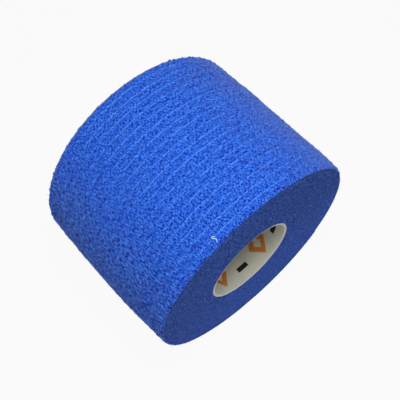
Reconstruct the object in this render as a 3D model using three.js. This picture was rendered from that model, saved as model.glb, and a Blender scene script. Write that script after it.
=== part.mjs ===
// Cohesive bandage roll lying on its side: a strip of crinkled elastic cloth wound on a thin card tube.
// Millimetres, +Z up. The winding axis runs along X, and Z = 0 is the surface that the roll rests on.
import * as THREE from "three";
import { ParametricGeometry } from "three/addons/geometries/ParametricGeometry.js";

// The strip and the roll it makes
const stripWidth = 50;
const turnThickness = 0.63;
const rollDiameter = 66;
const sideSquash = 0.022; // share by which the roll is wider and lower than round
const barrelDrop = 0.5; // the side is this much slimmer at its two rims
const flatDepth = 0.75; // pressed flat by its own weight
const nearRimRadius = 0.8;
const farRimRadius = 1.9;

// Elastic yarns, which stand up as fine ribs round the side
const yarnCount = 19;
const yarnPitch = 2.58;
const yarnMargin = 2.6; // from the near edge to the first yarn
const ribWidth = 0.7;
const ribHeight = 0.15;

// The free end of the strip, low at the back
const tailAngle = THREE.MathUtils.degToRad(235);
const tailSlope = THREE.MathUtils.degToRad(1);

// The card tube
const coreInnerDiameter = 25.8;
const coreWall = 0.9;
const coreShift = -1.1; // across the roll, which is not wound quite true
const coreRecess = 0.15; // below the innermost turn, at both ends
const seatGap = 0.3;

// Both ends are dished: how far each turn is drawn in, by its share of the way from rim to bore
const endDish = [
  { share: 0.06, drawnIn: 0.0 },
  { share: 0.18, drawnIn: 0.14 },
  { share: 0.4, drawnIn: 0.22 },
  { share: 0.62, drawnIn: 0.4 },
  { share: 0.84, drawnIn: 0.52 },
  { share: 1.0, drawnIn: 0.6 },
];

// Broad swells and hollows of the side: angle from the top, place along the axis, reach and height
const swells = [
  { angle: -58, along: 20, turnReach: 26, alongReach: 9, height: 0.35 },
  { angle: 98, along: 24, turnReach: 20, alongReach: 9, height: -0.5 },
  { angle: 74, along: -24, turnReach: 24, alongReach: 12, height: -0.3 },
  { angle: 160, along: -8, turnReach: 30, alongReach: 16, height: 0.2 },
  { angle: 268, along: -12, turnReach: 22, alongReach: 15, height: 0.25 },
];

// Mesh steps
const turnSteps = 56;
const rimSteps = 3;
const coreSteps = 60;

const halfWidth = stripWidth / 2;
const rollRadius = rollDiameter / 2;
const coreOuterRadius = coreInnerDiameter / 2 + coreWall;
const boreRadius = coreOuterRadius + seatGap;
const axisHeight = rollRadius * (1 - sideSquash) - flatDepth;
const coreLength = stripWidth - 2 * (endDish[endDish.length - 1].drawnIn + coreRecess);

// Radius of the side at a place along the axis, before the ribs
function sideRadius(along) {
  return rollRadius - barrelDrop * (along / halfWidth) ** 2;
}

// A quarter round from the side to the end face, for the rim on one end
function rimPoints(end, radius) {
  const points = [];
  const centreAlong = halfWidth - radius;
  const centreOut = sideRadius(halfWidth) - radius;
  for (let step = 0; step <= rimSteps; step++) {
    const angle = (step / rimSteps) * (Math.PI / 2);
    const along = centreAlong + radius * Math.sin(angle);
    points.push(new THREE.Vector2(end * along, centreOut + radius * Math.cos(angle)));
  }
  return points;
}

// The dished end face, from the rim in to the bore
function endPoints(end) {
  const rimRadius = sideRadius(halfWidth);
  return endDish.map((row) => {
    const out = THREE.MathUtils.lerp(rimRadius, boreRadius, row.share);
    return new THREE.Vector2(end * (halfWidth - row.drawnIn), out);
  });
}

// The side from near rim to far rim, with a narrow rib on each yarn
function sidePoints() {
  const points = [];
  const nearLimit = halfWidth - nearRimRadius;
  const farLimit = farRimRadius - halfWidth;
  const ribOutline = [
    { offset: ribWidth / 2, lift: 0 },
    { offset: 0, lift: ribHeight },
    { offset: -ribWidth / 2, lift: 0 },
  ];
  for (let yarn = 0; yarn < yarnCount; yarn++) {
    const yarnAlong = halfWidth - yarnMargin - yarn * yarnPitch;
    for (const row of ribOutline) {
      const along = yarnAlong + row.offset;
      if (along < nearLimit && along > farLimit) {
        points.push(new THREE.Vector2(along, sideRadius(along) + row.lift));
      }
    }
  }
  return points;
}

// Section of the roll through its axis, a closed loop of (along, out) points
const section = [
  ...rimPoints(1, nearRimRadius).reverse(),
  ...sidePoints(),
  ...rimPoints(-1, farRimRadius),
  ...endPoints(-1),
  ...endPoints(1).reverse(),
];

// Height of the swells at an angle from the top and a place along the axis
function swellAt(angle, along) {
  return swells.reduce((sum, row) => {
    const turn = angle - THREE.MathUtils.degToRad(row.angle);
    const nearestTurn = Math.atan2(Math.sin(turn), Math.cos(turn));
    const overTurn = THREE.MathUtils.radToDeg(nearestTurn) / row.turnReach;
    const overAlong = (along - row.along) / row.alongReach;
    return sum + row.height * Math.exp(-overTurn * overTurn - overAlong * overAlong);
  }, 0);
}

// One whole turn from the free end round to the free end, with the step down behind it as the last stretch
function woundSurface(u, v, target) {
  const place = u * section.length;
  const index = Math.floor(place) % section.length;
  const next = (index + 1) % section.length;
  const point = section[index].clone().lerp(section[next], place - Math.floor(place));
  const tailStart = (turnSteps - 1) / turnSteps;
  const lap = Math.min(v / tailStart, 1);
  const stepDown = Math.max((v - tailStart) / (1 - tailStart), 0);
  const angle = tailAngle + lap * (2 * Math.PI - tailSlope) + stepDown * tailSlope;
  const share = (point.y - boreRadius) / (rollRadius - boreRadius);
  const wound = turnThickness * (lap - stepDown - 0.5) + swellAt(angle, point.x);
  const out = point.y + share * wound;
  const across = -out * Math.sin(angle) * (1 + share * sideSquash) + (1 - share) * coreShift;
  const up = axisHeight + out * Math.cos(angle) * (1 - share * sideSquash);
  target.set(point.x, across, Math.max(up, 0));
}

const cloth = new THREE.MeshStandardMaterial({ color: 0x2f5cc8, roughness: 0.92, metalness: 0 });
const card = new THREE.MeshStandardMaterial({ color: 0xd9d4c6, roughness: 0.85, metalness: 0 });

const bandageRoll = new THREE.Mesh(new ParametricGeometry(woundSurface, section.length, turnSteps), cloth);
bandageRoll.name = "bandage_roll";

const corePoints = [
  new THREE.Vector2(coreInnerDiameter / 2, -coreLength / 2),
  new THREE.Vector2(coreOuterRadius, -coreLength / 2),
  new THREE.Vector2(coreOuterRadius, coreLength / 2),
  new THREE.Vector2(coreInnerDiameter / 2, coreLength / 2),
  new THREE.Vector2(coreInnerDiameter / 2, -coreLength / 2),
];
const coreTube = new THREE.Mesh(new THREE.LatheGeometry(corePoints, coreSteps), card);
coreTube.name = "core_tube";
coreTube.rotation.z = -Math.PI / 2;
coreTube.position.set(0, coreShift, axisHeight);

const bandage = new THREE.Group();
bandage.name = "cohesive_bandage_roll";
bandage.add(bandageRoll, coreTube);

export default bandage;
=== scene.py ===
import math
import random

import bmesh
import bpy
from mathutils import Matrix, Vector, noise


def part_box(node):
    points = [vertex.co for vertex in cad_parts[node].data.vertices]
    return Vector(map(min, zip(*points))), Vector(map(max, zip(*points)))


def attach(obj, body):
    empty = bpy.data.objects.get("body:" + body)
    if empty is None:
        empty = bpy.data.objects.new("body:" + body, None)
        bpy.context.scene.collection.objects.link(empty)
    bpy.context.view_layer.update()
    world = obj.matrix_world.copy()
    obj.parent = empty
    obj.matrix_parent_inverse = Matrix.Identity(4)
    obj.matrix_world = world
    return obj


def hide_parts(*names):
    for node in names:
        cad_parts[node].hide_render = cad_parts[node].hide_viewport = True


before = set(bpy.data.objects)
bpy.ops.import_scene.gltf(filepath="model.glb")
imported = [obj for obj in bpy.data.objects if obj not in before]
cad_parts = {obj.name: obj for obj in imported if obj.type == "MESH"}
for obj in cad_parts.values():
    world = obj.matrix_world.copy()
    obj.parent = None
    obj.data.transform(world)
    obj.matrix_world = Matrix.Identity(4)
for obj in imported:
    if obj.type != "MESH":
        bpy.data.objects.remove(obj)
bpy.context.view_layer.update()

mm = 0.001

# The camera stands where the photograph was taken from
photoCamera = {
    "azimuth": math.radians(48.66),
    "elevation": math.radians(60.43),
    "distance": 197.66 * mm,
    "aimAlong": 0.91 * mm,
    "aimAcross": 1.1 * mm,
    "lens": 62.34,
    "sensor": 36,
}

# The wound form that all cloth pieces share, as the solids have it
rollLow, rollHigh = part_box("bandage_roll")
coreLow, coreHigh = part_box("core_tube")
rollForm = {
    "halfWidth": (rollHigh.x - rollLow.x) / 2,
    "radius": 33 * mm,
    "bore": (coreHigh.y - coreLow.y) / 2 + 0.3 * mm,  # the solids stand a little apart
    "axisHeight": (coreHigh.z + coreLow.z) / 2,
    "coreShift": (coreHigh.y + coreLow.y) / 2,
    "squash": 0.022,  # wider and lower than round
    "barrel": 0.5 * mm,  # slimmer at both rims
    "turn": 0.63 * mm,  # from one turn to the next
    "tailAngle": math.radians(235),  # the free end, low at the back
    "pressed": 0.5,  # thickness left of the turns where they lie on the floor
    "nearRim": 0.8 * mm,
    "farRim": 1.9 * mm,
}

# Broad swells and hollows of the side
swells = [
    {"angle": -58, "along": 20, "turnReach": 26, "alongReach": 9, "height": 0.35},
    {"angle": 98, "along": 24, "turnReach": 20, "alongReach": 9, "height": -0.5},
    {"angle": 74, "along": -24, "turnReach": 24, "alongReach": 12, "height": -0.3},
    {"angle": 160, "along": -8, "turnReach": 30, "alongReach": 16, "height": 0.2},
    {"angle": 268, "along": -12, "turnReach": 22, "alongReach": 15, "height": 0.25},
]


def swellAt(angle, along):
    total = 0.0
    for row in swells:
        turn = math.remainder(angle - math.radians(row["angle"]), 2 * math.pi)
        overTurn = math.degrees(turn) / row["turnReach"]
        overAlong = (along / mm - row["along"]) / row["alongReach"]
        total += row["height"] * mm * math.exp(-overTurn * overTurn - overAlong * overAlong)
    return total


# A place in the roll: along the axis, out from it, and round it from the top
def onRoll(along, out, angle):
    form = rollForm
    share = (out - form["bore"]) / (form["radius"] - form["bore"])
    slim = form["barrel"] * (along / form["halfWidth"]) ** 2
    far = out + share * (swellAt(angle, along) - slim)
    across = -far * math.sin(angle) * (1 + share * form["squash"]) + (1 - share) * form["coreShift"]
    up = form["axisHeight"] + far * math.cos(angle) * (1 - share * form["squash"])
    depth = max(form["radius"] - out, 0)
    return Vector((along, across, max(up, form["pressed"] * depth)))


def newObject(name, bm, material):
    mesh = bpy.data.meshes.new(name)
    bm.to_mesh(mesh)
    bm.free()
    mesh.materials.append(material)
    piece = bpy.data.objects.new(name, mesh)
    bpy.context.scene.collection.objects.link(piece)
    return piece


# A flat grid of cloth, steps long and columns across, counted from 0
def flatGrid(bm, steps, columns):
    made = bmesh.ops.create_grid(bm, x_segments=steps, y_segments=columns, size=0.5)
    return [(v, v.co.x + 0.5, round((v.co.y + 0.5) * columns)) for v in made["verts"]]


# Surface lengths in millimetres, round the roll and along it, so weave and print keep their real size
def surfaceLengths(bm, name, radius, axisHeight):
    layer = bm.loops.layers.uv.new(name)
    for face in bm.faces:
        centre = face.calc_center_median()
        middle = math.atan2(-centre.y, centre.z - axisHeight)
        for loop in face.loops:
            co = loop.vert.co
            angle = math.atan2(-co.y, co.z - axisHeight)
            angle = middle + math.remainder(angle - middle, 2 * math.pi)
            loop[layer].uv = (angle * radius / mm, co.x / mm)


def clothLengths(bm):
    surfaceLengths(bm, "clothLength", rollForm["radius"], rollForm["axisHeight"])


mergeDistance = 1e-7  # metres


def finishMesh(bm):
    bmesh.ops.remove_doubles(bm, verts=bm.verts, dist=mergeDistance)
    openEdges = [e for e in bm.edges if e.is_boundary]
    if openEdges:
        bmesh.ops.holes_fill(bm, edges=openEdges, sides=0)
    bmesh.ops.recalc_face_normals(bm, faces=bm.faces)
    for face in bm.faces:
        face.smooth = True


# Wrinkled cloth between its elastic yarns, sizes in millimetres
crepe = {
    "yarnPitch": 2.63,
    "yarnMargin": 2.31,  # near edge to first yarn
    "yarnDrift": 0.25,  # the strip is not wound quite square
    "yarnCount": 18,
    "crease": 0.72,  # from one crease to the next, round the roll
    "wander": 1.5,  # how far a crease strays from straight, in creases
    "shiver": 0.4,
    "fold": 0.7,  # below 1, folds are broad and creases sharp
    "foldShare": 0.62,  # folds and crumple make up the relief
    "crumpleShare": 0.38,
    "crumpleGain": 0.9,
    "height": 0.40,
    "level": 0.55,  # share of the way up that lies on the wound form
    "evenHeight": 0.8,  # share of the height that is the same all over
    "patchyHeight": 0.4,
    "looseHeight": 0.4,
    "pinch": 0.7,  # height left on a yarn
    "paintedYarnSideLight": 0.12,  # painted highlight beside a yarn, where the cloth is drawn up
    "tuft": 0.6,  # taller puckers here and there
    "tuftStart": 0.3,
    "frill": 0.45,  # ruffled far edge, height for each millimetre past its start
    "frillStart": 22.6,
    "looseAngles": (78, 200),  # where the last turn lies looser, from the top
    "looseReach": 34,
}

# Noise that wrinkles the cloth: size along the axis, size round the roll, and where it is read
wrinkles = {
    "shortDrift": (1.2, 2.0, 0),
    "longDrift": (3.4, 2.4, 60),
    "shiver": (0.8, 0.9, 40),
    "patch": (4.0, 4.5, 80),
    "crumple": (1.0, 0.45, 120),
    "tuft": (1.3, 1.0, 200),
    "ruffle": (1.5, 0.8, 260),
}


def looseAt(angle):
    loose = 0
    for middle in crepe["looseAngles"]:
        turn = math.remainder(angle - math.radians(middle), 2 * math.pi)
        loose += math.exp(-(math.degrees(turn) / crepe["looseReach"]) ** 2)
    return loose


def yarnPlace(row, angle):
    drift = crepe["yarnDrift"] * math.sin(angle)
    return rollForm["halfWidth"] + (drift - crepe["yarnMargin"] - row * crepe["yarnPitch"]) * mm


def wrinkleAt(name, place):
    alongSize, roundSize, shift = wrinkles[name]
    x, y, z = place
    return noise.noise(Vector((x / alongSize, y / roundSize, z / roundSize + shift)))


# Height of the cloth at a place, with its share of the way up from a crease, which also serves as
# painted shade: darker in the creases, paler on the crests and beside the yarns
def crepeHeight(along, angle):
    radius = rollForm["radius"] / mm
    x = along / mm
    place = (x, -radius * math.sin(angle), radius * math.cos(angle))
    loose = looseAt(angle)
    tuft = crepe["tuft"] * max(wrinkleAt("tuft", place) - crepe["tuftStart"], 0)
    frill = crepe["frill"] * max(wrinkleAt("ruffle", place), 0) * max(-x - crepe["frillStart"], 0)
    band = (yarnPlace(0, angle) / mm - x) / crepe["yarnPitch"]
    fromYarn = abs(math.sin(math.pi * band))
    drift = (1 - loose) * wrinkleAt("shortDrift", place) + loose * wrinkleAt("longDrift", place)
    waves = radius * angle / crepe["crease"] + crepe["wander"] * drift
    waves += crepe["shiver"] * wrinkleAt("shiver", place)
    fold = abs(math.sin(math.pi * waves)) ** crepe["fold"]
    crumple = 0.5 + crepe["crumpleGain"] * wrinkleAt("crumple", place)
    reliefAndShade = min(max(crepe["foldShare"] * fold + crepe["crumpleShare"] * crumple, 0), 1)
    # painted shade and highlight: the relief share, raised beside each yarn, goes to the cloth colour
    shade = min(reliefAndShade + crepe["paintedYarnSideLight"] * (1 - fromYarn) ** 2, 1)
    tall = crepe["pinch"] + (1 - crepe["pinch"]) * fromYarn
    patchy = crepe["patchyHeight"] * wrinkleAt("patch", place)
    tall *= crepe["evenHeight"] + patchy + crepe["looseHeight"] * loose
    return (crepe["height"] * tall * (reliefAndShade - crepe["level"]) + tuft + frill) * mm, shade


# Shader helpers
def newMaterial(name):
    material = bpy.data.materials.new(name)
    material.use_nodes = True
    nodes = material.node_tree.nodes
    nodes.clear()
    shader = nodes.new("ShaderNodeBsdfPrincipled")
    result = nodes.new("ShaderNodeOutputMaterial")
    material.node_tree.links.new(shader.outputs["BSDF"], result.inputs["Surface"])
    return material, nodes, material.node_tree.links, shader


def addNode(nodes, kind, **settings):
    node = nodes.new(kind)
    for key, value in settings.items():
        setattr(node, key, value)
    return node


def colourRamp(nodes, links, source, stops):
    ramp = nodes.new("ShaderNodeValToRGB")
    while len(ramp.color_ramp.elements) < len(stops):
        ramp.color_ramp.elements.new(0.5)
    for element, (place, colour) in zip(ramp.color_ramp.elements, stops):
        element.position = place
        element.color = (*colour, 1)
    links.new(source, ramp.inputs["Fac"])
    return ramp.outputs["Color"]


# A value times a factor, plus an offset
def scaleAdd(nodes, links, source, factor, offset):
    node = addNode(nodes, "ShaderNodeMath", operation="MULTIPLY_ADD")
    node.inputs[1].default_value = factor
    node.inputs[2].default_value = offset
    links.new(source, node.inputs[0])
    return node


def multiplyColours(nodes, links, first, second):
    node = addNode(nodes, "ShaderNodeMix", data_type="RGBA", blend_type="MULTIPLY")
    node.inputs["Factor"].default_value = 1
    links.new(first, node.inputs["A"])
    links.new(second, node.inputs["B"])
    return node


# A plain colour laid over what is there, as far as a mask lets it
def layOver(nodes, links, under, mask, colour):
    node = addNode(nodes, "ShaderNodeMix", data_type="RGBA")
    node.inputs["B"].default_value = (*colour, 1)
    links.new(mask, node.inputs["Factor"])
    links.new(under, node.inputs["A"])
    return node.outputs["Result"]


# Fibre grain for cloth, yarn and card: a mottle for colour and a height for bump
def makeFibreGrain():
    group = bpy.data.node_groups.new("fibreGrain", "ShaderNodeTree")
    face = group.interface
    face.new_socket("Vector", in_out="INPUT", socket_type="NodeSocketVector")
    face.new_socket("Fine", in_out="INPUT", socket_type="NodeSocketFloat")
    face.new_socket("Broad", in_out="INPUT", socket_type="NodeSocketFloat")
    face.new_socket("Mottle", in_out="OUTPUT", socket_type="NodeSocketFloat")
    face.new_socket("Height", in_out="OUTPUT", socket_type="NodeSocketFloat")
    nodes, links = group.nodes, group.links
    enter = nodes.new("NodeGroupInput")
    leave = nodes.new("NodeGroupOutput")
    fine = addNode(nodes, "ShaderNodeTexNoise", noise_dimensions="3D")
    fine.inputs["Detail"].default_value = 3
    broad = addNode(nodes, "ShaderNodeTexNoise", noise_dimensions="3D")
    broad.inputs["Detail"].default_value = 2
    links.new(enter.outputs["Vector"], fine.inputs["Vector"])
    links.new(enter.outputs["Vector"], broad.inputs["Vector"])
    links.new(enter.outputs["Fine"], fine.inputs["Scale"])
    links.new(enter.outputs["Broad"], broad.inputs["Scale"])
    mottle = addNode(nodes, "ShaderNodeMath", operation="MULTIPLY_ADD")
    mottle.inputs[1].default_value = 0.5
    half = addNode(nodes, "ShaderNodeMath", operation="MULTIPLY")
    half.inputs[1].default_value = 0.5
    links.new(broad.outputs["Fac"], half.inputs[0])
    links.new(fine.outputs["Fac"], mottle.inputs[0])
    links.new(half.outputs["Value"], mottle.inputs[2])
    links.new(mottle.outputs["Value"], leave.inputs["Mottle"])
    links.new(fine.outputs["Fac"], leave.inputs["Height"])
    return group


fibreGrain = makeFibreGrain()


def placeGrain(nodes, links, vector, fine, broad):
    node = addNode(nodes, "ShaderNodeGroup", node_tree=fibreGrain)
    node.inputs["Fine"].default_value = fine
    node.inputs["Broad"].default_value = broad
    links.new(vector, node.inputs["Vector"])
    return node


def bumpFrom(nodes, links, height, depth, strength, shader):
    bump = nodes.new("ShaderNodeBump")
    bump.inputs["Strength"].default_value = strength
    bump.inputs["Distance"].default_value = depth
    links.new(height, bump.inputs["Height"])
    links.new(bump.outputs["Normal"], shader.inputs["Normal"])


# Noise drawn out along the axis, as the fine creases lie
def creaseNoise(nodes, links, lengths, scale, detail, distortion):
    stretch = nodes.new("ShaderNodeMapping")
    stretch.inputs["Scale"].default_value = scale
    links.new(lengths, stretch.inputs["Vector"])
    texture = addNode(nodes, "ShaderNodeTexNoise", noise_dimensions="2D")
    texture.inputs["Scale"].default_value = 1
    texture.inputs["Detail"].default_value = detail
    texture.inputs["Distortion"].default_value = distortion
    links.new(stretch.outputs["Vector"], texture.inputs["Vector"])
    return texture.outputs["Fac"]


# The crinkled face of the strip: blue dye with painted highlights on the wrinkles and painted shade in
# the creases
def makeClothMaterial():
    material, nodes, links, shader = newMaterial("crepeCloth")
    shader.inputs["Roughness"].default_value = 0.9
    shader.inputs["Specular IOR Level"].default_value = 0.15
    shader.inputs["Sheen Weight"].default_value = 0.18
    shader.inputs["Sheen Roughness"].default_value = 0.5
    shader.inputs["Sheen Tint"].default_value = (0.85, 0.82, 1, 1)
    lengths = addNode(nodes, "ShaderNodeUVMap", uv_map="clothLength")
    pucker = creaseNoise(nodes, links, lengths.outputs["UV"], (4.6, 1.6, 1), 1, 0.4)
    ridge = creaseNoise(nodes, links, lengths.outputs["UV"], (3.7, 0.95, 1), 2.5, 0.2)
    bolder = scaleAdd(nodes, links, ridge, 1.35, -0.165)
    loose = addNode(nodes, "ShaderNodeAttribute", attribute_name="loose")
    relief = addNode(nodes, "ShaderNodeMix", data_type="FLOAT")  # bolder ridges where the turn is loose
    links.new(loose.outputs["Fac"], relief.inputs["Factor"])
    links.new(pucker, relief.inputs["A"])
    links.new(bolder.outputs["Value"], relief.inputs["B"])
    # painted crease shade from the vertex attribute: darker in the creases, paler on the crests
    crease = addNode(nodes, "ShaderNodeAttribute", attribute_name="reliefAndShade")
    broad = scaleAdd(nodes, links, crease.outputs["Fac"], 0.30, -0.625)
    depth = scaleAdd(nodes, links, relief.outputs["Result"], 1.95, 0)
    links.new(broad.outputs["Value"], depth.inputs[2])
    # painted shade and highlight: the fine creases and the crease attribute darken or lighten the blue
    dyeWithPaintedCreaseShade = colourRamp(nodes, links, depth.outputs["Value"], [
        (0.29, (0.0006, 0.006, 0.27)),
        (0.43, (0.0030, 0.047, 0.55)),
        (0.57, (0.0115, 0.097, 0.69)),
        (0.76, (0.060, 0.257, 0.95)),
    ])
    grain = placeGrain(nodes, links, lengths.outputs["UV"], 9.0, 0.6)
    tone = colourRamp(nodes, links, grain.outputs["Mottle"], [
        (0.3, (0.75, 0.80, 0.88)),
        (0.7, (1.2, 1.15, 1.08)),
    ])
    blend = multiplyColours(nodes, links, dyeWithPaintedCreaseShade, tone)
    links.new(blend.outputs["Result"], shader.inputs["Base Color"])
    bumpFrom(nodes, links, relief.outputs["Result"], 0.25 * mm, 0.7, shader)
    return material


# Cut edges of the turns, duller and felted, with painted shade in small pits
def makeEdgeMaterial():
    material, nodes, links, shader = newMaterial("cutEdges")
    shader.inputs["Roughness"].default_value = 0.95
    shader.inputs["Specular IOR Level"].default_value = 0.1
    place = nodes.new("ShaderNodeTexCoord")
    grain = placeGrain(nodes, links, place.outputs["Object"], 2700, 1300)
    tone = colourRamp(nodes, links, grain.outputs["Mottle"], [
        (0.38, (0.009, 0.039, 0.255)),
        (0.47, (0.034, 0.087, 0.42)),
        (0.55, (0.036, 0.093, 0.43)),
        (0.64, (0.086, 0.172, 0.62)),
    ])
    pits = placeGrain(nodes, links, place.outputs["Object"], 1500, 500)
    # painted shade in the pits
    shade = colourRamp(nodes, links, pits.outputs["Height"], [
        (0.36, (0.34, 0.40, 0.50)),
        (0.52, (1.12, 1.10, 1.08)),
    ])
    split = nodes.new("ShaderNodeSeparateXYZ")
    links.new(place.outputs["Object"], split.inputs["Vector"])
    rise = addNode(nodes, "ShaderNodeMapRange")  # painted light from the floor: the painted pit shade fades and the edges pale lower down
    rise.inputs["From Min"].default_value = 12 * mm
    rise.inputs["From Max"].default_value = 50 * mm
    rise.inputs["To Min"].default_value = 0.35
    links.new(split.outputs["Z"], rise.inputs["Value"])
    # painted bounce light from the floor: paler and less blue lower down
    paintedFloorLight = colourRamp(nodes, links, rise.outputs["Result"], [
        (0.35, (1.27, 1.23, 1.15)),
        (1.0, (1.06, 1.07, 0.95)),
    ])
    pitShaded = multiplyColours(nodes, links, tone, shade)
    links.new(rise.outputs["Result"], pitShaded.inputs["Factor"])
    blend = multiplyColours(nodes, links, pitShaded.outputs["Result"], paintedFloorLight)
    links.new(blend.outputs["Result"], shader.inputs["Base Color"])
    bumpFrom(nodes, links, grain.outputs["Height"], 0.06 * mm, 0.5, shader)
    return material


# Covered elastic, paler than the cloth round it
def makeYarnMaterial():
    material, nodes, links, shader = newMaterial("elasticYarn")
    shader.inputs["Roughness"].default_value = 0.75
    shader.inputs["Specular IOR Level"].default_value = 0.3
    lengths = addNode(nodes, "ShaderNodeUVMap", uv_map="clothLength")
    grain = placeGrain(nodes, links, lengths.outputs["UV"], 4.0, 0.7)
    tone = colourRamp(nodes, links, grain.outputs["Mottle"], [
        (0.3, (0.09, 0.34, 1.0)),
        (0.7, (0.19, 0.51, 1.0)),
    ])
    links.new(tone, shader.inputs["Base Color"])
    bumpFrom(nodes, links, grain.outputs["Height"], 0.03 * mm, 0.4, shader)
    return material


# Print inside the core, millimetres round its inner wall and along it
corePrint = {
    "repeat": (2 * math.pi * 12.9 / 5, 16.0),
    "lozengeShift": (-1.4, -2.5),
    "lozengeHalf": (3.6, 4.2),
    "barShift": (-9.5, -4.4),
    "barHalf": (1.9, 0.75),
    "cutRim": (24.0, 24.2),  # the cut starts and ends this far from the middle
}


# Off-white card with a plain repeat of lozenges and short bars
def makeCardMaterial():
    material, nodes, links, shader = newMaterial("coreCard")
    shader.inputs["Roughness"].default_value = 0.8
    shader.inputs["Specular IOR Level"].default_value = 0.25
    place = nodes.new("ShaderNodeTexCoord")
    grain = placeGrain(nodes, links, place.outputs["Object"], 3000, 260)
    tone = colourRamp(nodes, links, grain.outputs["Mottle"], [
        (0.3, (0.525, 0.525, 0.445)),
        (0.7, (0.635, 0.635, 0.555)),
    ])
    lengths = addNode(nodes, "ShaderNodeUVMap", uv_map="cardLength")
    split = nodes.new("ShaderNodeSeparateXYZ")
    links.new(lengths.outputs["UV"], split.inputs["Vector"])

    def fromMiddle(source, shift, repeat):  # distance from the middle of the nearest repeat
        moved = addNode(nodes, "ShaderNodeMath", operation="ADD")
        moved.inputs[1].default_value = shift
        links.new(source, moved.inputs[0])
        wave = addNode(nodes, "ShaderNodeMath", operation="PINGPONG")
        wave.inputs[1].default_value = repeat / 2
        links.new(moved.outputs["Value"], wave.inputs[0])
        return wave.outputs["Value"]

    def printMask(shifts, halves, rule):  # below 1 inside a mark
        shares = []
        for axis, shift, repeat, half in zip("XY", shifts, corePrint["repeat"], halves):
            share = addNode(nodes, "ShaderNodeMath", operation="DIVIDE")
            share.inputs[1].default_value = half
            links.new(fromMiddle(split.outputs[axis], shift, repeat), share.inputs[0])
            shares.append(share.outputs["Value"])
        both = addNode(nodes, "ShaderNodeMath", operation=rule)
        links.new(shares[0], both.inputs[0])
        links.new(shares[1], both.inputs[1])
        return both.outputs["Value"]

    lozenge = printMask(corePrint["lozengeShift"], corePrint["lozengeHalf"], "ADD")
    bar = printMask(corePrint["barShift"], corePrint["barHalf"], "MAXIMUM")
    orange = colourRamp(nodes, links, lozenge, [
        (0.40, (0, 0, 0)), (0.44, (1, 1, 1)), (0.95, (1, 1, 1)), (0.99, (0, 0, 0)),
    ])
    black = colourRamp(nodes, links, bar, [(0.92, (1, 1, 1)), (0.99, (0, 0, 0))])
    inked = layOver(nodes, links, tone, orange, (0.58, 0.20, 0.030))
    barred = layOver(nodes, links, inked, black, (0.008, 0.008, 0.007))
    rim = addNode(nodes, "ShaderNodeMath", operation="ABSOLUTE")
    links.new(split.outputs["Y"], rim.inputs[0])
    cut = addNode(nodes, "ShaderNodeMapRange")  # the cut rim is whiter
    cut.inputs["From Min"].default_value = corePrint["cutRim"][0]
    cut.inputs["From Max"].default_value = corePrint["cutRim"][1]
    links.new(rim.outputs["Value"], cut.inputs["Value"])
    whiter = layOver(nodes, links, barred, cut.outputs["Result"], (0.70, 0.72, 0.69))
    links.new(whiter, shader.inputs["Base Color"])
    bumpFrom(nodes, links, grain.outputs["Height"], 0.03 * mm, 0.3, shader)
    return material


def makeThreadMaterial():
    material, nodes, links, shader = newMaterial("bareElastic")
    shader.inputs["Roughness"].default_value = 0.5
    place = nodes.new("ShaderNodeTexCoord")
    grain = placeGrain(nodes, links, place.outputs["Object"], 6000, 900)
    tone = colourRamp(nodes, links, grain.outputs["Mottle"], [
        (0.3, (0.58, 0.88, 1.0)),
        (0.7, (0.70, 0.96, 1.0)),
    ])
    links.new(tone, shader.inputs["Base Color"])
    bumpFrom(nodes, links, grain.outputs["Height"], 0.02 * mm, 0.3, shader)
    return material


clothMaterial = makeClothMaterial()
edgeMaterial = makeEdgeMaterial()
yarnMaterial = makeYarnMaterial()
cardMaterial = makeCardMaterial()
threadMaterial = makeThreadMaterial()
print("materials made")

# The last turn of the strip, the one that shows all round the side
outerTurn = {
    "thickness": 0.55 * mm,
    "columns": 70,
    "underColumns": 6,
    "steps": 1290,
    "tucked": math.radians(6),  # start of the turn, under its own free end
    "nearEdge": 24.9 * mm,
    "farEdge": -24.3 * mm,
    "raggedEnd": 0.5 * mm,  # how far the cut of the free end wanders
    "raggedSize": 2.2,
    "raggedRow": 7.5,  # where the noise for it is read
    "underHill": 0.8,  # the smooth inside takes a pale value of the painted crease shade
}


# How far the side drops in the last stretch before a rim
def rimDrop(along):
    rim = rollForm["nearRim"] if along > 0 else rollForm["farRim"]
    past = max(abs(along) - (rollForm["halfWidth"] - rim), 0)
    return rim - math.sqrt(max(rim * rim - past * past, 0))


# Radius of the strip's outside, counted round from the free end
def spiralRadius(angle):
    laps = (angle - rollForm["tailAngle"]) / (2 * math.pi)
    return rollForm["radius"] + rollForm["turn"] * (laps - 0.5)


def makeOuterTurn():
    bm = bmesh.new()
    paintedShadeLayer = bm.verts.layers.float.new("reliefAndShade")
    looseLayer = bm.verts.layers.float.new("loose")
    last = outerTurn["columns"]
    under = outerTurn["underColumns"]
    start = rollForm["tailAngle"] - outerTurn["tucked"]
    sweep = 2 * math.pi + outerTurn["tucked"]
    for vert, lap, column in flatGrid(bm, outerTurn["steps"], last + 1 + under):
        column = column % (last + 1 + under)  # the last column closes the strip's section
        across = column / last if column <= last else (last + under - column) / (under - 1)
        along = outerTurn["nearEdge"] + (outerTurn["farEdge"] - outerTurn["nearEdge"]) * across
        wander = noise.noise(Vector((along / mm / outerTurn["raggedSize"], outerTurn["raggedRow"], 0)))
        ragged = outerTurn["raggedEnd"] / rollForm["radius"] * wander
        angle = start + lap * (sweep + ragged)
        out = spiralRadius(angle)
        if column <= last:
            height, reliefAndShade = crepeHeight(along, angle)
            out += height - rimDrop(along)
        else:
            out -= outerTurn["thickness"]
            reliefAndShade = outerTurn["underHill"]
        vert.co = onRoll(along, out, angle)
        # painted crease shade, kept on the vertices for the cloth colour
        vert[paintedShadeLayer] = reliefAndShade
        vert[looseLayer] = min(looseAt(angle), 1)
    finishMesh(bm)
    clothLengths(bm)
    piece = newObject("outerTurn", bm, clothMaterial)
    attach(piece, "root")
    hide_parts("bandage_roll")


makeOuterTurn()
print("outer turn made")

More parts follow.
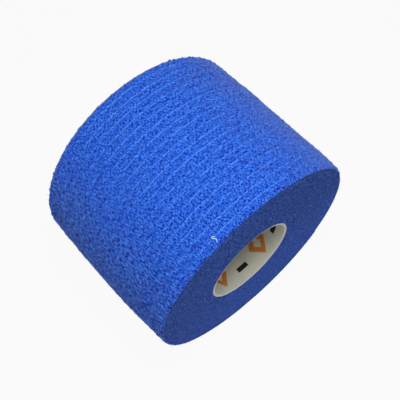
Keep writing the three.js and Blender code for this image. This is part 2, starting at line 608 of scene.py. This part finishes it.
# Taut yarns that run in and out of the outer turn
elasticYarns = {
    "radius": 0.077 * mm,
    "sides": 4,
    "steps": 890,
    "follow": 0.08,  # share of the wrinkles that a yarn follows
    "lift": 0.045 * mm,
    "sway": 0.1 * mm,  # off its line
    "swayRate": 0.25,
    "dip": 0.29 * mm,  # where the cloth covers a yarn
    "dipRate": 2.4,
    "looseSink": 0.22 * mm,
    "coverSink": 0.09 * mm,  # deeper in the cloth on the far side of the top
    "coverAngle": -40,
    "coverReach": 26,
    "floorSink": 0.45 * mm,  # pressed into the cloth where the roll lies on the floor
    "floorReach": 22,
    "tucked": math.radians(2),
    "loosePast": 1.3 * mm,  # yarn left beyond the cut of the free end, at most
    "droop": 0.6 * mm,  # how far that yarn hangs down
    "noiseRadius": 36,  # where the noise is read, round the roll and row by row
    "noiseRow": 3.7,
}


def makeYarns():
    bm = bmesh.new()
    spec = elasticYarns
    start = rollForm["tailAngle"] - spec["tucked"]
    finish = rollForm["tailAngle"] + 2 * math.pi
    radius = rollForm["radius"]
    for row in range(crepe["yarnCount"]):
        past = spec["loosePast"] * abs(math.sin(2.4 * row + 0.7))  # no two rows alike
        for vert, lap, column in flatGrid(bm, spec["steps"], spec["sides"]):
            angle = start + lap * (finish + past / radius - start)
            yarnAlong = yarnPlace(row, angle)
            turned = 2 * math.pi * (column % spec["sides"]) / spec["sides"]
            noiseAcross = spec["noiseRadius"] * math.sin(angle)
            noiseUp = spec["noiseRadius"] * math.cos(angle)
            around = Vector((row * spec["noiseRow"], noiseAcross, noiseUp))
            along = yarnAlong + spec["sway"] * noise.noise(around * spec["swayRate"])
            along += spec["radius"] * math.sin(turned)
            turn = math.degrees(math.remainder(angle - math.radians(spec["coverAngle"]), 2 * math.pi))
            covered = math.exp(-(turn / spec["coverReach"]) ** 2)
            sunk = spec["dip"] * max(noise.noise(around * spec["dipRate"]), 0)
            sunk += spec["looseSink"] * looseAt(angle) + spec["coverSink"] * covered
            under = math.degrees(math.remainder(angle - math.pi, 2 * math.pi))
            sunk += spec["floorSink"] * math.exp(-(under / spec["floorReach"]) ** 4)
            beyond = max(angle - finish, 0) * radius
            out = spiralRadius(angle) + spec["follow"] * crepeHeight(yarnAlong, angle)[0]
            out += spec["lift"] - sunk
            out += spec["radius"] * math.cos(turned) - rimDrop(along) - min(beyond, spec["droop"])
            vert.co = onRoll(along, out, angle)
    finishMesh(bm)
    clothLengths(bm)
    piece = newObject("elasticYarns", bm, yarnMaterial)
    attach(piece, "root")
    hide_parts("bandage_roll")


makeYarns()
print("elastic yarns made")

# All turns below the last one, whose cut edges make the two end faces
woundTurns = {
    "turns": 29.85,
    "stepsPerTurn": 140,
    "gap": 0.02 * mm,
    "chamfer": 0.06 * mm,
    "uneven": 0.045 * mm,  # how far single turns stand out or back
    "turnRate": 1.9,  # how quickly that changes from turn to turn
    "endRow": 5.0,  # keeps the two ends unlike each other
    "broad": 0.6,  # share of slower change, also round the roll
    "broadRate": 0.37,
    "broadRadius": 3,
    "setBack": 0.6,
    "seat": 0.27 * mm,  # the first turn lies on the card
}
endDish = [  # how far the turns are drawn in, by share of the way from rim to bore
    {"share": 0.02, "drawnIn": 0.26},
    {"share": 0.06, "drawnIn": 0.08},
    {"share": 0.18, "drawnIn": 0.14},
    {"share": 0.4, "drawnIn": 0.22},
    {"share": 0.62, "drawnIn": 0.4},
    {"share": 0.84, "drawnIn": 0.52},
    {"share": 1.0, "drawnIn": 0.6},
]


def dishAt(share):
    before = endDish[0]
    for row in endDish:
        if share <= row["share"]:
            span = max(row["share"] - before["share"], 1e-6)
            part = max((share - before["share"]) / span, 0)
            return mm * (before["drawnIn"] + part * (row["drawnIn"] - before["drawnIn"]))
        before = row
    return mm * endDish[-1]["drawnIn"]


def makeWoundTurns():
    bm = bmesh.new()
    turns = woundTurns["turns"]
    chamfer = woundTurns["chamfer"]
    thick = rollForm["turn"] - woundTurns["gap"]
    section = [  # end of the axis, distance in from the edge, depth below the outside
        (1, chamfer, 0), (1, 0, chamfer), (1, 0, thick - chamfer), (1, chamfer, thick),
        (-1, chamfer, thick), (-1, 0, thick - chamfer), (-1, 0, chamfer), (-1, chamfer, 0),
    ]
    start = rollForm["tailAngle"] - 2 * math.pi * turns
    depthAll = rollForm["radius"] - rollForm["bore"]
    onCore = rollForm["bore"] - woundTurns["seat"]
    for vert, lap, column in flatGrid(bm, round(turns * woundTurns["stepsPerTurn"]), len(section)):
        end, inset, depth = section[column % len(section)]
        angle = start + lap * 2 * math.pi * turns
        outside = spiralRadius(angle)
        below = rollForm["radius"] - outside
        rim = rollForm["nearRim"] if end > 0 else rollForm["farRim"]
        rounded = max(rim - below - thick / 2, 0)
        drawn = dishAt(below / depthAll) + rim - math.sqrt(rim * rim - rounded * rounded)
        turn = (angle - start) / (2 * math.pi)
        loose = noise.noise(Vector((turn * woundTurns["turnRate"], end * woundTurns["endRow"], 0)))
        noiseAcross = woundTurns["broadRadius"] * math.sin(angle)
        noiseUp = woundTurns["broadRadius"] * math.cos(angle) + end
        slow = noise.noise(Vector((turn * woundTurns["broadRate"], noiseAcross, noiseUp)))
        loose += woundTurns["broad"] * slow
        drift = woundTurns["uneven"] * (loose - woundTurns["setBack"])
        along = end * (rollForm["halfWidth"] - drawn - inset + drift)
        vert.co = onRoll(along, max(outside - depth, onCore), angle)
    finishMesh(bm)
    piece = newObject("woundTurns", bm, edgeMaterial)
    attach(piece, "root")
    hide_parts("bandage_roll")


makeWoundTurns()
print("wound turns made")

# The card tube in the middle
coreTube = {
    "inner": 12.9 * mm,
    "outer": (coreHigh.y - coreLow.y) / 2,
    "half": (coreHigh.x - coreLow.x) / 2,
    "steps": 144,
    "edge": 0.3 * mm,
}


def makeCoreTube():
    bm = bmesh.new()
    section = [(1, "inner"), (1, "outer"), (-1, "outer"), (-1, "inner")]
    corners = [bm.verts.new((end * coreTube["half"], 0, coreTube[wall])) for end, wall in section]
    for first, second in zip(corners, corners[1:] + corners[:1]):
        bm.edges.new((first, second))
    bmesh.ops.spin(
        bm, geom=bm.verts[:] + bm.edges[:], cent=(0, 0, 0), axis=(1, 0, 0),
        angle=2 * math.pi, steps=coreTube["steps"], use_merge=True,
    )
    bmesh.ops.recalc_face_normals(bm, faces=bm.faces)
    sharp = [e for e in bm.edges if e.is_manifold and e.calc_face_angle() > 1]
    bmesh.ops.bevel(
        bm, geom=sharp, offset=coreTube["edge"], offset_type="OFFSET", affect="EDGES",
        segments=2, profile=0.5, material=-1,
    )
    for face in bm.faces:
        face.smooth = True
    surfaceLengths(bm, "cardLength", coreTube["inner"], 0)
    bmesh.ops.translate(bm, verts=bm.verts, vec=(0, rollForm["coreShift"], rollForm["axisHeight"]))
    piece = newObject("coreTube", bm, cardMaterial)
    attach(piece, "root")
    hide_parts("core_tube")


makeCoreTube()
print("core made")


# A bare end of elastic that has sprung out: along, angle from the top, height above the cloth
strayThread = {
    "thickness": 0.17 * mm,
    "points": [
        (22.8, 24.1, 0.15), (22.45, 25.1, 0.4), (22.95, 25.25, 0.5),
        (23.25, 24.55, 0.5), (23.75, 24.5, 0.4), (24.2, 25.0, 0.25),
    ],
}


def makeStrayThread():
    curve = bpy.data.curves.new("strayThread", "CURVE")
    curve.dimensions = "3D"
    curve.bevel_depth = strayThread["thickness"] / 2
    curve.bevel_resolution = 2
    curve.resolution_u = 4
    curve.use_fill_caps = True
    spline = curve.splines.new("BEZIER")
    spline.bezier_points.add(len(strayThread["points"]) - 1)
    for point, (along, angle, height) in zip(spline.bezier_points, strayThread["points"]):
        point.co = onRoll(along * mm, rollForm["radius"] + height * mm, math.radians(angle))
        point.handle_left_type = "AUTO"
        point.handle_right_type = "AUTO"
    drawn = bpy.data.objects.new("threadCurve", curve)
    bpy.context.scene.collection.objects.link(drawn)
    bpy.context.view_layer.update()
    bm = bmesh.new()
    bm.from_mesh(drawn.evaluated_get(bpy.context.evaluated_depsgraph_get()).to_mesh())
    bpy.data.objects.remove(drawn)
    finishMesh(bm)
    piece = newObject("strayThread", bm, threadMaterial)
    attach(piece, "root")


makeStrayThread()
print("stray thread made")

# Loose fibres that stand off the side and the two ends
looseFibres = {
    "onSide": 3000,
    "onEnds": 360,
    "seed": 11,
    "radius": 0.04 * mm,
    "sides": 3,
    "knots": 4,  # steps along a fibre
    "taper": 0.75,
    "shortest": 0.5 * mm,
    "longest": 1.5 * mm,
    "bend": 0.6,
    "leastRise": 0.3,
    "height": 0.5 * mm,
    "endHeight": 0.25 * mm,
    "root": 0.05 * mm,  # below the cloth
    "endRoot": 0.06 * mm,
    "endRing": (0.03, 0.97),  # share of the way from rim to bore
    "floorCosine": -0.93,  # none lower than this, where the roll lies on the floor
}


def makeLooseFibres():
    bm = bmesh.new()
    spec = looseFibres
    chance = random.Random(spec["seed"])
    depthAll = rollForm["radius"] - rollForm["bore"]
    fibres = []
    while len(fibres) < spec["onSide"] + spec["onEnds"]:
        fibre = {
            "end": chance.choice((1, -1)) if len(fibres) >= spec["onSide"] else 0,
            "angle": rollForm["tailAngle"] + chance.uniform(0, 2 * math.pi),
            "length": chance.uniform(spec["shortest"], spec["longest"]),
            "heading": chance.uniform(0, 2 * math.pi),
            "bend": chance.uniform(-spec["bend"], spec["bend"]),
            "rise": chance.uniform(spec["leastRise"], 1),
        }
        if math.cos(fibre["angle"]) < spec["floorCosine"]:
            continue
        if fibre["end"]:
            fibre["out"] = rollForm["radius"] - depthAll * chance.uniform(*spec["endRing"])
            dish = dishAt((rollForm["radius"] - fibre["out"]) / depthAll)
            fibre["foot"] = fibre["end"] * (rollForm["halfWidth"] - dish - spec["endRoot"])
        else:
            fibre["foot"] = chance.uniform(outerTurn["farEdge"], outerTurn["nearEdge"])
            fibre["out"] = spiralRadius(fibre["angle"]) - rimDrop(fibre["foot"]) - spec["root"]
            fibre["out"] += crepeHeight(fibre["foot"], fibre["angle"])[0]
        fibres.append(fibre)
    knots = spec["knots"]
    steps = (knots + 1) * len(fibres) - 1  # one long ribbon, cut between the fibres
    ribbon = flatGrid(bm, steps, spec["sides"])
    cuts = [f for f in bm.faces if int((f.calc_center_median().x + 0.5) * steps) % (knots + 1) == knots]
    bmesh.ops.delete(bm, geom=cuts, context="FACES")
    for vert, lap, column in ribbon:
        index, knot = divmod(round(lap * steps), knots + 1)
        fibre = fibres[index]
        turned = 2 * math.pi * (column % spec["sides"]) / spec["sides"]
        thick = spec["radius"] * (1 - spec["taper"] * knot / knots)
        way = fibre["heading"] + fibre["bend"] * knot / knots
        forward = fibre["length"] * knot / knots * math.cos(way) + thick * math.cos(turned)
        angle = fibre["angle"] + fibre["length"] * knot / knots * math.sin(way) / rollForm["radius"]
        lift = fibre["rise"] * knot / knots * (1.6 - 0.6 * knot / knots)  # steep, then leaning
        if fibre["end"]:
            stand = spec["endHeight"] * lift + thick * math.sin(turned)
            vert.co = onRoll(fibre["foot"] + fibre["end"] * stand, fibre["out"] + forward, angle)
        else:
            stand = spec["height"] * lift + thick * math.sin(turned)
            vert.co = onRoll(fibre["foot"] + forward, fibre["out"] + stand, angle)
    finishMesh(bm)
    clothLengths(bm)
    piece = newObject("looseFibres", bm, yarnMaterial)
    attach(piece, "root")


makeLooseFibres()
print("loose fibres made")


# Floor, light and camera
studio = {
    "floorSize": 3,
    "floorDrop": 0.05 * mm,
    "floorBounce": 0.82,  # softer to the roll than to the camera
    "floorSeen": 0.943,
    "skyBounce": 0.05,
    "skySeen": 0.95,  # as pale as the floor to the camera
    "lampSize": 0.16,
    "lampEnergy": 0.71,
    "lampPlace": (0.045, -0.015, 0.30),
    "lampAim": (0, 0, 0.04),
}


def makeStage():
    bm = bmesh.new()
    bmesh.ops.create_grid(bm, x_segments=1, y_segments=1, size=studio["floorSize"])
    bmesh.ops.translate(bm, verts=bm.verts, vec=(0, 0, -studio["floorDrop"]))
    material, nodes, links, shader = newMaterial("paleFloor")
    shader.inputs["Base Color"].default_value = (0.02, 0.02, 0.02, 1)
    shader.inputs["Roughness"].default_value = 0.9
    shader.inputs["Specular IOR Level"].default_value = 0
    shader.inputs["Emission Color"].default_value = (1, 1, 1, 1)
    path = nodes.new("ShaderNodeLightPath")
    glow = addNode(nodes, "ShaderNodeMapRange")
    glow.inputs["To Min"].default_value = studio["floorBounce"]
    glow.inputs["To Max"].default_value = studio["floorSeen"]
    links.new(path.outputs["Is Camera Ray"], glow.inputs["Value"])
    links.new(glow.outputs["Result"], shader.inputs["Emission Strength"])
    floor = newObject("paleFloor", bm, material)

    world = bpy.data.worlds.new("studio")
    world.use_nodes = True
    sky = world.node_tree.nodes["Background"]
    sky.inputs["Color"].default_value = (1, 1, 1, 1)
    seen = world.node_tree.nodes.new("ShaderNodeLightPath")
    behind = addNode(world.node_tree.nodes, "ShaderNodeMapRange")
    behind.inputs["To Min"].default_value = studio["skyBounce"]
    behind.inputs["To Max"].default_value = studio["skySeen"]
    world.node_tree.links.new(seen.outputs["Is Camera Ray"], behind.inputs["Value"])
    world.node_tree.links.new(behind.outputs["Result"], sky.inputs["Strength"])
    bpy.context.scene.world = world

    lamp = bpy.data.lights.new("overhead", "AREA")
    lamp.shape = "DISK"
    lamp.size = studio["lampSize"]
    lamp.energy = studio["lampEnergy"]
    light = bpy.data.objects.new("overhead", lamp)
    light.location = studio["lampPlace"]
    towards = Vector(studio["lampAim"]) - light.location
    light.rotation_euler = towards.to_track_quat("-Z", "Y").to_euler()
    bpy.context.scene.collection.objects.link(light)


def makeCamera():
    spec = photoCamera
    back = Vector((
        math.sin(spec["azimuth"]) * math.cos(spec["elevation"]),
        -math.cos(spec["azimuth"]) * math.cos(spec["elevation"]),
        math.sin(spec["elevation"]),
    ))
    data = bpy.data.cameras.new("photoCamera")
    data.lens = spec["lens"]
    data.sensor_width = spec["sensor"]
    data.clip_start = 1 * mm
    camera = bpy.data.objects.new("photoCamera", data)
    aim = Vector((spec["aimAlong"], spec["aimAcross"], rollForm["axisHeight"]))
    camera.location = aim + back * spec["distance"]
    camera.rotation_mode = "QUATERNION"
    camera.rotation_quaternion = (-back).to_track_quat("-Z", "Y")
    bpy.context.scene.collection.objects.link(camera)
    bpy.context.scene.camera = camera


makeStage()
makeCamera()
bpy.context.scene.view_settings.view_transform = "Standard"
print("stage made")
